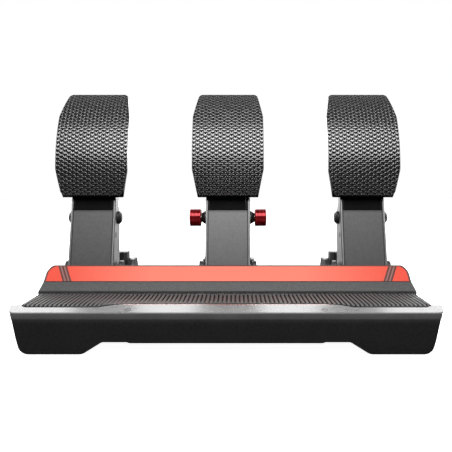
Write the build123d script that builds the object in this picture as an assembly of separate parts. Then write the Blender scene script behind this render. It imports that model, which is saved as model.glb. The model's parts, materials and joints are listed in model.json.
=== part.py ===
from build123d import *
import math
import os

# The driver sits on the -Y side, +Z is up, and the floor is at z = 0.
# The origin is on the floor, under the middle of the whole pedal set.
overall_width = 440.0
overall_depth = 330.0
front_y = -overall_depth / 2
rear_y = overall_depth / 2

# Shared small values
cut_over = 5.0
same_point = 0.001
edge_break = 0.6
seat_gap = 0.3
running_gap = 0.05

# Footrest body: a moulded shell, open underneath, on two lobes
body_top = 40.3
body_side_step = 0.5
body_shoulder_in = 3.1
body_shoulder_z = 35.0
body_waist_in = 6.6
body_waist_z = 16.0
lobe_outer_in = 10.3
lobe_width = 60.7
lobe_slope_run = 19.3
lobe_bottom = 0.8
lobe_outer_round = 10.0
lobe_inner_round = 12.0
lobe_root_round = 6.0
notch_round = 1.0
notch_run = 24.2
notch_z = 12.9
lip_run = 3.0
lip_z = 11.9
body_front_top = 4.5
body_shoulder_drop = 4.2
body_shoulder_land = 3.0
body_under_slope = 1.5
body_rear_y = -62.0
body_wall = 3.5
body_deck = 3.0
lobe_floor = 3.0
body_rib = 2.4
body_rib_pitch = 40.0
body_rib_count = 9
shoulder_round = 1.5

# Heel plate: a thick sheet with a bevelled front margin and a mat pocket
plate_thickness = 6.2
plate_top = body_top + plate_thickness
plate_rear_y = -58.0
plate_front_inset = 5.0
plate_front_in = 6.6
plate_mid_in = 2.5
plate_mid_inset = 39.0
plate_full_inset = 78.0
plate_corner = 7.0
bevel_length = 14.0
bevel_drop = 5.1
pocket_depth = 2.6
pocket_gap = 0.8
mat_front_in = 16.1
mat_rear_in = 13.5
mat_middle_half = 97.0
mat_step_half = 128.0
mat_middle_inset = 5.0
mat_lap = 4.0
mat_step_round = 3.0
mat_rear_inset = 20.5
mat_corner = 6.0
mat_base = 1.5
rib_height = 1.6
rib_width = 2.9
rib_pitch = 4.445
rib_edge = 0.5

# Front bar: a folded channel whose face leans back
bar_sheet = 3.2
bar_foot_y = -77.5
bar_flange_y = -60.0
bar_head_y = -55.0
bar_head_z = 76.5
bar_flange = 7.0
bar_end_in = 9.3
bar_waist_in = 4.8
bar_top_in = 2.3
bar_corner = 12.0
bar_fold = 2.0
strip_low_share = 0.41
strip_high_share = 0.955
strip_thickness = 0.9
strip_margin = 1.4
strip_line_offset = 9.8
strip_line_pitch = 3.9
strip_line_width = 2.0
strip_line_depth = 0.4
strip_line_lean = 8.7
strip_line_count = 3

# Base plate, rails and feet
base_bottom = 13.5
base_sheet = 4.0
base_top = base_bottom + base_sheet
base_half = 212.0
base_corner = 10.0
rail_width = 6.0
rail_top = 45.0
rail_rear_gap = 5.0
rail_side_gap = 4.5
front_rail_in = 22.0
front_rail_depth = 4.0
foot_radius = 14.0
foot_in = 22.0
foot_rear_inset = 20.0
foot_front_y = 30.0
pad_strip_inset = 6.0
pad_strip_rear = 12.0
rig_hole_radius = 4.25
rig_hole_x = 80.0
rig_hole_front_y = -20.0
rig_hole_rear_y = 130.0

# Screws of the cover plate and of the bar
plate_screw_radius = 3.4
plate_screw_depth = 3.6
plate_screw_shank = 1.6
plate_screw_inset = 5.0
bar_screw_radius = 4.0
bar_screw_head = 2.2
bar_screw_shank = 2.0
bar_screw_inner_x = 60.0
bar_screw_end_in = 30.7
bar_screw_reach = 9.0

# Pedals: spacing and pivot centres, as (Y, Z) of each pedal's middle plane
pivot_y = -30.0
pivot_z = 47.0
cross_y = -14.0
cross_z = 128.3
block_y = 68.0
block_z = 62.0

# Pedal arm: two side plates and a front channel, leaning back
arm_lean = 15.64
arm_half = 26.2
arm_plate = 5.0
arm_inner = arm_half - arm_plate
arm_front_v = -21.6
arm_cross_radius = 15.0
arm_depth = 15.6
arm_top_u = 195.0
arm_corner = 4.0
arm_edge = 0.8
panel_half = 23.8
panel_sheet = 4.0
panel_gap = 0.25
panel_low_u = 4.0
panel_high_u = 87.7
wing_sheet = 4.0
wing_low_u = 13.0
wing_high_u = 71.0
wing_reach = 12.5
screw_v = -12.5
panel_screw_us = (22.0, 60.0)
bracket_screw_us = (118.0, 178.0)
arm_screw_radius = 3.6
arm_screw_depth = 2.4
arm_screw_shank = 2.0
arm_screw_length = 8.8

# Pad: an arc of rubber on a curved steel plate, seen as a long octagon
pad_radius = 120.0
pad_face_y = -37.0
pad_centre_z = 180.0
pad_rubber = 5.0
pad_steel = 3.0
pad_low_angle = -12.3
pad_high_angle = 55.2
pad_low_corner = 2.6
pad_high_corner = 35.0
pad_half = 41.7
pad_low_half = 35.7
pad_high_half = 35.2
pad_corner = 5.5
pad_steel_inset = 0.7
pad_steel_drop = 1.5
support_sheet = 4.0
support_half = 21.0
support_low_u = 88.3
support_top_u = 190.0
support_web = 4.0
support_web_top_u = 112.0
support_depth = 11.0
support_arc_low = -9.5
support_arc_high = 38.0
support_reach = 60.0
support_spread = 30.0

# Pivot bushes and axle
axle_radius = 5.0
axle_head_radius = 8.5
axle_head = 4.5
axle_nut_radius = 8.0
axle_nut = 6.0
bush_radius = 7.0
bush_flange_radius = 10.0
bush_flange = 2.6

# Cross pin and its ends
pin_radius = 4.0
sleeve_radius = 7.0
sleeve_gap = 0.3
eye_half = 5.0
eye_radius = 10.0
cap_radius = 7.75
cap_start = 0.2
cap_length = 5.0
cap_crown = 2.6
cap_bore_depth = 4.0
cone_length = 5.6
cone_tip_radius = 5.0
cone_base = 1.6
knob_start = 32.0
knob_length = 13.5
knob_radius = 10.6
knob_groove_count = 6
knob_groove_depth = 0.7
knob_groove_share = 0.45
knob_edge = 0.9
knob_bore_depth = 10.0
pin_knob_half = 41.5
pin_cap_half = 29.0

# Push rod, its nuts, and what it squeezes; distances run along the rod from its eye
rod_radius = 4.0
rod_neck_radius = 5.0
rod_neck_end = 15.0
thread_gap = 0.05
preload_start = 18.0
preload_length = 8.0
preload_radius = 14.0
preload_flute_count = 24
preload_flute_radius = 1.1
stop_nut_length = 8.0
stop_nut_radius = 7.5
rod_tail = 3.0
seat_before = 16.5
seat_after = 14.0
seat_radius = 14.0
block_hole_gap = 0.65
seat_pocket_radius = 15.0
nut_pocket_radius = 9.6
pocket_run = 16.0
wire_radius = 1.6
coil_radius = 12.0
coil_turns = 7
coil_close_share = 0.5
load_cell_length = 8.0
load_cell_radius = 13.0
load_cell_lip = 1.5
elastomer_count = 3
elastomer_radius = 12.0
elastomer_bore_gap = 0.8
elastomer_gap = 0.3
elastomer_round = 2.5

# Spring block: an upright trunnion between the cheeks
block_half = 25.0
block_front = 13.5
block_rear = 13.5
block_below = 15.5
block_above = 18.0
block_chamfer = 4.0
block_shoulder_radius = 9.0
trunnion_radius = 6.0

# Pedal bracket: a floor plate and two cheeks
bracket_half = 43.0
bracket_front_y = -50.0
bracket_rear_y = 108.0
bracket_sheet = 4.0
bracket_top = base_top + bracket_sheet
bracket_corner = 5.0
cheek_inner = 29.0
cheek_sheet = 5.0
cheek_outer = cheek_inner + cheek_sheet
cheek_edge = 0.7
cheek_front_low = 42.0
cheek_peak_front_y = -27.0
cheek_peak_rear_y = -17.0
cheek_peak_z = 77.0
cheek_waist_y = 20.0
cheek_waist_z = 50.0
cheek_rear_peak_y = 52.0
cheek_rear_end_y = 84.0
cheek_rear_peak_z = 71.0
cheek_tail_z = 40.0
cheek_round = 6.0
bolt_x = 38.6
bolt_front_inset = 12.0
bolt_rear_inset = 12.0
bolt_radius = 3.0
bolt_head_radius = 4.0
bolt_head = 3.6
bolt_tail = 2.5

# Rotary sensors on the outer cheeks of clutch and throttle
sensor_half_width = 12.0
sensor_above = 11.0
sensor_below = 26.0
sensor_thickness = 9.0
sensor_round = 4.0
sensor_floor = 2.0

# Electronics housing between clutch and brake
box_side_gap = 8.25
box_front_y = 25.0
box_rear_y = 85.0
box_height = 20.0
box_wall = 2.2
box_corner = 4.0
lid_height = 3.0
socket_half = 6.0
socket_height = 11.0
socket_depth = 10.0
socket_rise = 5.0

# Worked out places
body_top_half = base_half - body_side_step
body_shoulder_half = body_top_half - body_shoulder_in
body_waist_half = body_top_half - body_waist_in
lobe_outer_half = body_top_half - lobe_outer_in
lobe_inner_half = lobe_outer_half - lobe_width
lobe_root_half = lobe_inner_half - lobe_slope_run
notch_half = lobe_root_half - notch_run
plate_screw_x = notch_half
lip_half = notch_half - lip_run
plate_front_half = overall_width / 2 - plate_front_in
plate_mid_half = overall_width / 2 - plate_mid_in
mat_front_half = overall_width / 2 - mat_front_in
mat_rear_half = overall_width / 2 - mat_rear_in
rib_count = int((mat_front_half * 2 - rib_width) / rib_pitch) + 1
bar_bottom_half = overall_width / 2 - bar_end_in
bar_waist_half = bar_bottom_half - bar_waist_in
bar_top_half = bar_waist_half - bar_top_in
bar_screw_outer_x = bar_bottom_half - bar_screw_end_in
front_rail_half = base_half - front_rail_in
foot_x = base_half - foot_in
nose_y = front_y + plate_front_inset
bevel_y = nose_y + bevel_length
pocket_floor = plate_top - pocket_depth
pedal_spacing = base_half - rail_width - rail_side_gap - bracket_half
pad_centre_y = pad_face_y + pad_radius
box_x = -pedal_spacing / 2
box_half = pedal_spacing / 2 - bracket_half - box_side_gap
lean_sin = math.sin(math.radians(arm_lean))
lean_cos = math.cos(math.radians(arm_lean))
rod_reach = math.hypot(block_y - cross_y, block_z - cross_z)
rod_dir = (0, (block_y - cross_y) / rod_reach, (block_z - cross_z) / rod_reach)
bar_rise = bar_head_z - plate_top
bar_run = bar_head_y - bar_foot_y
bar_slant = math.hypot(bar_run, bar_rise)
bar_up = (bar_run / bar_slant, bar_rise / bar_slant)
bar_out = (-bar_up[1], bar_up[0])
seat_start = rod_reach - seat_before
seat_end = rod_reach + seat_after
preload_end = preload_start + preload_length


def outline(points, rounds):
    """A closed flat outline; rounds gives one rounding per corner, 0 for a sharp one."""
    face = make_face(Polyline(*points, close=True))
    for radius in sorted(set(rounds)):
        wanted = [Vector(point[0], point[1], 0) for point, r in zip(points, rounds) if r == radius]
        corners = [v for v in face.vertices() if any((Vector(v) - w).length < same_point for w in wanted)]
        if radius > 0:
            face = fillet(corners, radius)
    return face


def mirrored(half_points):
    """Both halves of an outline that is the same left and right."""
    return half_points + [(-x, z) for x, z in reversed(half_points)]


def side_slab(face, x_from, x_to):
    """An outline in Y and Z, given thickness along X."""
    return extrude(Plane.YZ.offset(x_from) * face, x_to - x_from)


def front_slab(face, y_from, y_to):
    """An outline in X and Z, given depth along Y."""
    plane = Plane(origin=(0, y_from, 0), x_dir=(1, 0, 0), z_dir=(0, -1, 0))
    return extrude(plane * face, y_to - y_from, dir=(0, 1, 0))


def top_slab(face, z_from, z_to):
    """An outline in X and Y, given height along Z."""
    return extrude(Plane.XY.offset(z_from) * face, z_to - z_from)


def turned(points, rounds=None):
    """A turned piece about the X axis, from (distance, radius) points."""
    face = outline(points, rounds if rounds else [0] * len(points))
    return revolve(face, Axis.X)


def barrel(start, end, radius, edge=0.0):
    """A plain turned piece with small chamfers at its two ends."""
    if edge == 0:
        return turned([(start, 0), (start, radius), (end, radius), (end, 0)])
    return turned([(start, 0), (start, radius - edge), (start + edge, radius),
                   (end - edge, radius), (end, radius - edge), (end, 0)])


def at_yz(y, z, piece):
    """Moves a piece turned about X to its axis."""
    return Pos(0, y, z) * piece


def both_sides(piece):
    """The piece and its mirror image in the pedal's middle plane."""
    return [piece, mirror(piece, Plane.YZ)]


def hexagon(radius, height, z_from):
    """A standing hexagon about Z."""
    return Pos(0, 0, z_from) * extrude(RegularPolygon(radius, 6), height)


def arm_place(x_from):
    """The arm's own plane: v runs back across the arm, u runs up along it."""
    return Plane(origin=(x_from, pivot_y, pivot_z), x_dir=(0, lean_cos, -lean_sin), z_dir=(1, 0, 0))


def arm_slab(face, x_from, x_to):
    """An outline in the arm's v and u, given thickness along X."""
    return extrude(arm_place(x_from) * face, x_to - x_from)


def arm_uv(y, z):
    """A point's v and u in the arm's own plane."""
    return ((y - pivot_y) * lean_cos - (z - pivot_z) * lean_sin,
            (y - pivot_y) * lean_sin + (z - pivot_z) * lean_cos)


def on_rod(piece):
    """Places a piece turned about X on the rod's axis, with its start at the eye."""
    return Plane(origin=(0, cross_y, cross_z), x_dir=rod_dir, z_dir=(1, 0, 0)).location * piece


def pad_point(radius, angle):
    """A point of the pad's side view, as Y and Z."""
    turn = math.radians(angle)
    return (pad_centre_y - radius * math.cos(turn), pad_centre_z + radius * math.sin(turn))


def body_side_face(inset):
    """The footrest body from the side, drawn in by a wall."""
    top = body_top - (body_deck if inset else 0)
    bottom = -cut_over if inset else lobe_bottom
    points = [(front_y + body_front_top + inset, top),
              (front_y + inset, body_top - body_shoulder_drop),
              (front_y + inset, body_top - body_shoulder_drop - body_shoulder_land),
              (front_y + body_under_slope + inset, bottom),
              (body_rear_y - inset, bottom),
              (body_rear_y - inset, top)]
    return outline(points, [edge_break, shoulder_round, shoulder_round, 0, 0, 0])


def body_front_face(inset, lift):
    """The footrest body from the front, drawn in by a wall and lifted by a floor."""
    half = [(lip_half, lip_z + lift), (notch_half, notch_z + lift), (lobe_root_half, notch_z + lift),
            (lobe_inner_half, lobe_bottom + lift), (lobe_outer_half - inset, lobe_bottom + lift),
            (body_waist_half - inset, body_waist_z + lift),
            (body_shoulder_half - inset, body_shoulder_z), (body_top_half - inset, body_top)]
    rounds = [0, notch_round, lobe_root_round, lobe_inner_round, lobe_outer_round, 0, 0, 0]
    return outline(mirrored(half), rounds + rounds[::-1])


def heel_body():
    core = front_slab(body_front_face(0, 0), front_y, body_rear_y) & side_slab(
        body_side_face(0), -body_top_half, body_top_half)
    hollow = front_slab(body_front_face(body_wall, lobe_floor), front_y, body_rear_y) & side_slab(
        body_side_face(body_wall), -body_top_half, body_top_half)
    belly = Pos(0, (front_y + body_rear_y) / 2, lip_z) * Box(
        (lip_half - body_wall) * 2, body_rear_y - front_y - (body_under_slope + body_wall) * 2,
        (lobe_floor + lobe_floor) * 2)
    span = (body_rib_count - 1) / 2
    middle = (front_y + body_rear_y) / 2
    ribs = [Pos(0, middle, body_top / 2) * Box(body_top_half * 2, body_rib, body_top)]
    for number in range(body_rib_count):
        rib_x = (number - span) * body_rib_pitch
        ribs.append(Pos(rib_x, middle, body_top / 2) * Box(body_rib, overall_depth, body_top))
    lattice = Part() + ribs
    body = core - hollow - (belly - lattice) + (lattice & hollow)
    for piece in plate_screws(running_gap):
        body -= piece
    return body


def plate_outline(inset, front_extra, rear_y_at):
    """The heel plate from above: straight sides at the rear, drawn in towards the front."""
    plate_front_y = nose_y + front_extra
    full_y = front_y + plate_full_inset
    mid_y = front_y + plate_mid_inset
    full_half = overall_width / 2 - inset
    right = ThreePointArc((full_half, full_y), (plate_mid_half - inset, mid_y),
                          (plate_front_half - inset, plate_front_y))
    left = mirror(right, Plane.YZ)
    rest = Polyline((full_half, full_y), (full_half, rear_y_at), (-full_half, rear_y_at),
                    (-full_half, full_y))
    nose = Line((plate_front_half - inset, plate_front_y), (-plate_front_half + inset, plate_front_y))
    face = make_face([right, left, rest, nose])
    corners = [v for v in face.vertices() if abs(v.Y - plate_front_y) < same_point]
    return fillet(corners, plate_corner)


def mat_outline(grow):
    """The mat from above: its front edge steps forward at both sides; grow gives the pocket around it."""
    middle = bevel_y + mat_middle_inset - grow
    low = bevel_y - mat_lap - grow
    high = plate_rear_y - mat_rear_inset + grow
    right = [(mat_middle_half, middle), (mat_step_half, low), (mat_front_half + grow, low),
             (mat_rear_half + grow, high)]
    rounds = [mat_step_round, mat_step_round, mat_corner + grow, edge_break]
    return outline(mirrored(right), rounds + rounds[::-1])


def heel_plate():
    slab = top_slab(plate_outline(0, 0, plate_rear_y), body_top, plate_top)
    above = plate_top + cut_over
    nose_z = plate_top - bevel_drop
    bevel = outline([(nose_y - cut_over, above), (nose_y - cut_over, nose_z), (nose_y, nose_z),
                     (bevel_y, plate_top), (bevel_y, above)], [0] * 5)
    slab -= side_slab(bevel, -overall_width / 2, overall_width / 2)
    pocket = outline([(nose_y, pocket_floor - bevel_drop), (bevel_y, pocket_floor),
                      (plate_rear_y, pocket_floor), (plate_rear_y, above), (nose_y, above)], [0] * 5)
    slab -= top_slab(mat_outline(pocket_gap), body_top, above) & side_slab(
        pocket, -overall_width / 2, overall_width / 2)
    for piece in plate_screws(seat_gap / 2):
        slab -= piece
    for piece in bar_screws(running_gap):
        slab -= piece
    return slab


def heel_mat():
    """The ribbed mat, bent where it lies down over the plate's bevel."""
    half_span = (rib_count - 1) * rib_pitch / 2 + rib_width / 2
    valley = pocket_floor + mat_base
    crest = valley + rib_height
    points = [(-mat_rear_half, pocket_floor), (mat_rear_half, pocket_floor), (mat_rear_half, valley)]
    for number in range(rib_count):
        right = half_span - number * rib_pitch
        left = right - rib_width
        points += [(right, valley), (right, crest - rib_edge), (right - rib_edge, crest),
                   (left + rib_edge, crest), (left, crest - rib_edge), (left, valley)]
    points.append((-mat_rear_half, valley))
    face = make_face(Polyline(*points, close=True))
    flat = front_slab(face, bevel_y, plate_rear_y)
    plane = Plane(origin=(0, bevel_y, 0), x_dir=(1, 0, 0), z_dir=(0, -1, 0))
    slope = math.hypot(bevel_length, bevel_drop)
    lap = extrude(plane * face, slope, dir=(0, -bevel_length / slope, -bevel_drop / slope))
    return (flat + lap) & top_slab(mat_outline(0), body_top, crest)


def plate_screws(grow):
    """Two small countersunk screws in the bevelled margin, square to the bevel."""
    tilt = math.degrees(math.atan2(bevel_drop, bevel_length))
    share = plate_screw_inset / bevel_length
    screws = []
    for side in (-1, 1):
        place = Pos(side * plate_screw_x, nose_y + plate_screw_inset,
                    plate_top - bevel_drop + bevel_drop * share)
        head = extrude(Circle(plate_screw_radius + grow), -plate_screw_depth / 2)
        shank = extrude(Circle(plate_screw_shank + grow), -plate_screw_depth * 2)
        screws.append(place * Rot(tilt, 0, 0) * (head + shank))
    return screws


def bar_screws(grow):
    """Four pan head screws on the bar's lower flange."""
    screws = []
    for bar_x in (-bar_screw_outer_x, -bar_screw_inner_x, bar_screw_inner_x, bar_screw_outer_x):
        place = Pos(bar_x, bar_flange_y - bar_screw_radius - edge_break, plate_top + bar_sheet)
        head = extrude(Circle(bar_screw_radius), bar_screw_head)
        head = fillet(head.faces().sort_by(Axis.Z)[-1].edges(), bar_screw_head / 2)
        shank = extrude(Circle(bar_screw_shank + grow), -bar_screw_reach)
        screws.append(place * (head + shank))
    return screws


def bar_section():
    """The folded channel from the side, as its outer line and its inner line."""
    back = (-bar_out[0] * bar_flange, -bar_out[1] * bar_flange)
    foot = (bar_foot_y, plate_top)
    head = (bar_head_y, bar_head_z)
    lip = (head[0] + back[0], head[1] + back[1])
    inner_head = (head[0] + (-bar_out[0] - bar_up[0]) * bar_sheet,
                  head[1] + (-bar_out[1] - bar_up[1]) * bar_sheet)
    inner_lip = (lip[0] - bar_up[0] * bar_sheet, lip[1] - bar_up[1] * bar_sheet)
    inner_foot_z = plate_top + bar_sheet
    face_start = (foot[0] - bar_out[0] * bar_sheet, foot[1] - bar_out[1] * bar_sheet)
    climb = (inner_foot_z - face_start[1]) / bar_up[1]
    inner_foot = (face_start[0] + bar_up[0] * climb, inner_foot_z)
    points = [(bar_flange_y, plate_top), foot, head, lip, inner_lip, inner_head, inner_foot,
              (bar_flange_y, inner_foot_z)]
    return outline(points, [0, bar_fold, bar_fold, 0, 0, 0, 0, 0])


def front_bar():
    section = side_slab(bar_section(), -overall_width / 2, overall_width / 2)
    waist_z = plate_top + bar_rise * strip_low_share
    right = [(bar_bottom_half, plate_top), (bar_waist_half, waist_z), (bar_top_half, bar_head_z)]
    front = outline(mirrored(right), [0, 0, bar_corner, bar_corner, 0, 0])
    bar = section & front_slab(front, bar_foot_y - cut_over, 0)
    for piece in bar_screws(running_gap):
        bar -= piece
    return bar


def strip_place():
    """The bar's sloping face: X across, then up the slope."""
    return Plane(origin=(0, bar_foot_y, plate_top), x_dir=(1, 0, 0), z_dir=(0, bar_out[0], bar_out[1]))


def red_strip():
    low = bar_slant * strip_low_share
    high = bar_slant * strip_high_share
    half_low = bar_waist_half - strip_margin
    half_high = half_low - bar_top_in * (strip_high_share - strip_low_share) / (1 - strip_low_share)
    face = outline([(-half_low, low), (half_low, low), (half_high, high), (-half_high, high)],
                   [edge_break, edge_break, bar_corner - strip_margin, bar_corner - strip_margin])
    strip = extrude(strip_place() * face, strip_thickness)
    for side in (-1, 1):
        for number in range(strip_line_count):
            top_x = half_high - strip_line_offset - number * strip_line_pitch
            near_x = top_x - strip_line_width
            line = [(side * top_x, high + edge_break), (side * near_x, high + edge_break),
                    (side * (near_x - strip_line_lean), low - edge_break),
                    (side * (top_x - strip_line_lean), low - edge_break)]
            groove = make_face(Polyline(*line, close=True))
            groove_place = strip_place().offset(strip_thickness - strip_line_depth)
            strip -= extrude(groove_place * groove, strip_thickness)
    return strip


def top_screws():
    return plate_screws(0) + bar_screws(0)


def rig_holes():
    """The four holes that bolt the set to a rig, as X and Y."""
    hole_ys = (rig_hole_front_y, rig_hole_rear_y)
    return [(side * rig_hole_x, hole_y) for side in (-1, 1) for hole_y in hole_ys]


def bolt_places():
    """The bracket bolts of one pedal, as X and Y from the pedal's middle plane."""
    front = bracket_front_y + bolt_front_inset
    rear = bracket_rear_y - bolt_rear_inset
    return [(side * bolt_x, bolt_y) for side in (-1, 1) for bolt_y in (front, rear)]


def pedal_xs():
    return (-pedal_spacing, 0, pedal_spacing)


def base_plate():
    face = outline([(-base_half, body_rear_y), (base_half, body_rear_y),
                    (base_half, rear_y), (-base_half, rear_y)], [0, 0, base_corner, base_corner])
    plate = top_slab(face, base_bottom, base_top)
    for hole_x, hole_y in rig_holes():
        plate -= Pos(hole_x, hole_y, base_bottom) * Cylinder(rig_hole_radius, base_sheet * 4)
    for pedal_x in pedal_xs():
        for hole_x, hole_y in bolt_places():
            hole = Cylinder(bolt_radius + running_gap, base_sheet * 4)
            plate -= Pos(pedal_x + hole_x, hole_y, base_bottom) * hole
    return plate


def base_rails():
    rail_front = plate_rear_y + seat_gap
    side_face = outline([(rail_front, base_top), (rear_y - rail_rear_gap, base_top),
                         (rear_y - rail_rear_gap, base_top + rail_width),
                         (rear_y - rail_rear_gap - rail_width, rail_top), (rail_front, rail_top)],
                        [0, 0, 0, rail_width / 2, 0])
    side_rail = side_slab(side_face, base_half - rail_width, base_half)
    bar = Box(front_rail_half * 2, front_rail_depth, body_top - base_top,
              align=(Align.CENTER, Align.MIN, Align.MIN))
    front_rail = Pos(0, body_rear_y, base_top) * bar
    return both_sides(side_rail) + [front_rail]


def rubber_feet():
    pad_face = outline([(lobe_inner_half + pad_strip_inset, front_y + body_under_slope + pad_strip_inset),
                        (lobe_outer_half - pad_strip_inset, front_y + body_under_slope + pad_strip_inset),
                        (lobe_outer_half - pad_strip_inset, body_rear_y - pad_strip_rear),
                        (lobe_inner_half + pad_strip_inset, body_rear_y - pad_strip_rear)],
                       [pad_strip_inset] * 4)
    feet = both_sides(top_slab(pad_face, 0, lobe_bottom))
    for foot_y in (foot_front_y, rear_y - foot_rear_inset):
        foot = Pos(foot_x, foot_y, 0) * extrude(Circle(foot_radius), base_bottom)
        foot = chamfer(foot.faces().sort_by(Axis.Z)[0].edges(), edge_break)
        feet += both_sides(foot)
    return feet


def bracket_bolts():
    bolts = []
    for pedal_x in pedal_xs():
        for bolt_at_x, bolt_at_y in bolt_places():
            head = hexagon(bolt_head_radius, bolt_head, bracket_top)
            shank = extrude(Circle(bolt_radius), bracket_top - base_bottom + bolt_tail)
            shank = Pos(0, 0, base_bottom - bolt_tail) * shank
            bolts.append(Pos(pedal_x + bolt_at_x, bolt_at_y, 0) * (head + shank))
    return bolts


def bracket_base():
    face = outline([(-bracket_half, bracket_front_y), (bracket_half, bracket_front_y),
                    (bracket_half, bracket_rear_y), (-bracket_half, bracket_rear_y)], [bracket_corner] * 4)
    base = top_slab(face, base_top, bracket_top)
    for hole_x, hole_y in bolt_places():
        base -= Pos(hole_x, hole_y, base_top) * Cylinder(bolt_radius + running_gap, bracket_sheet * 4)
    return base


def cheeks():
    points = [(bracket_front_y, bracket_top), (bracket_front_y, cheek_front_low),
              (cheek_peak_front_y, cheek_peak_z), (cheek_peak_rear_y, cheek_peak_z),
              (cheek_waist_y, cheek_waist_z), (cheek_rear_peak_y, cheek_rear_peak_z),
              (cheek_rear_end_y, cheek_rear_peak_z), (bracket_rear_y, cheek_tail_z),
              (bracket_rear_y, bracket_top)]
    face = outline(points, [0, cheek_round, cheek_round, cheek_round, cheek_round * 2, cheek_round,
                            cheek_round, cheek_round, 0])
    cheek = side_slab(face, cheek_inner, cheek_outer)
    rims = [edge for edge in cheek.edges() if edge.bounding_box().min.Z > bracket_top + same_point
            and edge.bounding_box().size.X < same_point]
    cheek = chamfer(rims, cheek_edge)
    through = (cheek_inner - cut_over, cheek_outer + cut_over)
    cheek -= at_yz(pivot_y, pivot_z, barrel(*through, axle_radius + running_gap))
    cheek -= at_yz(block_y, block_z, barrel(*through, trunnion_radius + running_gap))
    return both_sides(cheek)


def pivot_axle():
    """A shoulder bolt with a low head, and the lock nut on its far end."""
    bolt = barrel(-cheek_outer - axle_nut, cheek_outer, axle_radius)
    bolt += barrel(cheek_outer, cheek_outer + axle_head, axle_head_radius, edge_break)
    nut = Rot(0, 90, 0) * hexagon(axle_nut_radius, axle_nut, -cheek_outer - axle_nut)
    nut -= barrel(-cheek_outer - axle_nut - cut_over, -cheek_outer + cut_over, axle_radius + thread_gap)
    return [at_yz(pivot_y, pivot_z, bolt), at_yz(pivot_y, pivot_z, nut)]


def bushes():
    bush = barrel(arm_inner, arm_half, bush_radius)
    bush += barrel(arm_half, arm_half + bush_flange, bush_flange_radius, edge_break)
    bush -= barrel(arm_inner - cut_over, arm_half + bush_flange + cut_over, axle_radius + running_gap)
    return both_sides(at_yz(pivot_y, pivot_z, bush))


def arm_screw_places():
    return [(screw_v, screw_u) for screw_u in panel_screw_us + bracket_screw_us]


def arm_screw(place, grow):
    """One countersunk screw of the right hand plate, from the outside inwards."""
    tip = arm_half - arm_screw_length
    screw = turned([(tip, 0), (tip, arm_screw_shank + grow),
                    (arm_half - arm_screw_depth, arm_screw_shank + grow),
                    (arm_half - edge_break, arm_screw_radius + grow), (arm_half, arm_screw_radius + grow),
                    (arm_half, 0)])
    screw_v_at, screw_u_at = place
    y = pivot_y + screw_v_at * lean_cos + screw_u_at * lean_sin
    z = pivot_z - screw_v_at * lean_sin + screw_u_at * lean_cos
    return at_yz(y, z, screw)


def arm_plates():
    cross_v, cross_u = arm_uv(cross_y, cross_z)
    root = Circle(-arm_front_v)
    eye = Pos(cross_v, cross_u) * Circle(arm_cross_radius)
    lower = make_hull([root.edge(), eye.edge()])
    upper = outline([(arm_front_v, 0), (arm_front_v + arm_depth, 0), (arm_front_v + arm_depth, arm_top_u),
                     (arm_front_v, arm_top_u)], [0, 0, arm_corner, arm_corner])
    plate = arm_slab(lower + upper, arm_inner, arm_half)
    outer = plate.faces().sort_by(Axis.X)[-1]
    plate = chamfer(outer.outer_wire().edges(), arm_edge)
    rebate = outline([(arm_front_v - cut_over, panel_low_u - panel_gap),
                      (arm_front_v + panel_sheet, panel_low_u - panel_gap),
                      (arm_front_v + panel_sheet, panel_high_u + panel_gap),
                      (arm_front_v - cut_over, panel_high_u + panel_gap)], [0] * 4)
    plate -= arm_slab(rebate, arm_inner - cut_over, panel_half + panel_gap)
    plate -= at_yz(pivot_y, pivot_z, barrel(arm_inner - cut_over, arm_half + cut_over, bush_radius))
    plate -= at_yz(cross_y, cross_z, barrel(arm_inner - cut_over, arm_half + cut_over, pin_radius))
    for place in arm_screw_places():
        plate -= arm_screw(place, 0)
    return both_sides(plate)


def arm_screws():
    screws = []
    for place in arm_screw_places():
        screws += both_sides(arm_screw(place, 0))
    return screws


def arm_front():
    back_v = arm_front_v + panel_sheet - seat_gap / 2
    wall = outline([(arm_front_v, panel_low_u), (back_v, panel_low_u),
                    (back_v, panel_high_u), (arm_front_v, panel_high_u)], [0] * 4)
    root_v = arm_front_v + panel_sheet / 2
    tip_v = arm_front_v + wing_reach
    wing = outline([(root_v, wing_low_u), (tip_v, wing_low_u), (tip_v, wing_high_u), (root_v, wing_high_u)],
                   [0, edge_break, edge_break, 0])
    channel = arm_slab(wall, -panel_half, panel_half)
    for piece in both_sides(arm_slab(wing, arm_inner - wing_sheet, arm_inner)):
        channel += piece
    for screw_u in panel_screw_us:
        for piece in both_sides(arm_screw((screw_v, screw_u), 0)):
            channel -= piece
    return channel


def pad_sector(inner, outer, low, high):
    """The pad's side view between two radii, as arcs and two radial ends."""
    middle = (low + high) / 2
    front = ThreePointArc(pad_point(outer, low), pad_point(outer, middle), pad_point(outer, high))
    back = ThreePointArc(pad_point(inner, high), pad_point(inner, middle), pad_point(inner, low))
    top = Line(pad_point(outer, high), pad_point(inner, high))
    bottom = Line(pad_point(inner, low), pad_point(outer, low))
    return make_face([front, top, back, bottom])


def pad_octagon(inset, drop):
    """The pad's long octagon, as seen square on to its middle, pushed through along that view."""
    middle = (pad_low_angle + pad_high_angle) / 2

    def height(angle):
        return pad_radius * math.sin(math.radians(angle - middle))

    right = [(pad_low_half - inset, height(pad_low_angle - drop) + inset),
             (pad_half - inset, height(pad_low_corner)),
             (pad_half - inset, height(pad_high_corner)),
             (pad_high_half - inset, height(pad_high_angle) - inset)]
    face = outline(mirrored(right), [pad_corner] * 8)
    view = (0, -math.cos(math.radians(middle)), math.sin(math.radians(middle)))
    plane = Plane(origin=(0, pad_centre_y, pad_centre_z), x_dir=(1, 0, 0), z_dir=view)
    return extrude(plane * face, pad_radius + cut_over)


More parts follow.
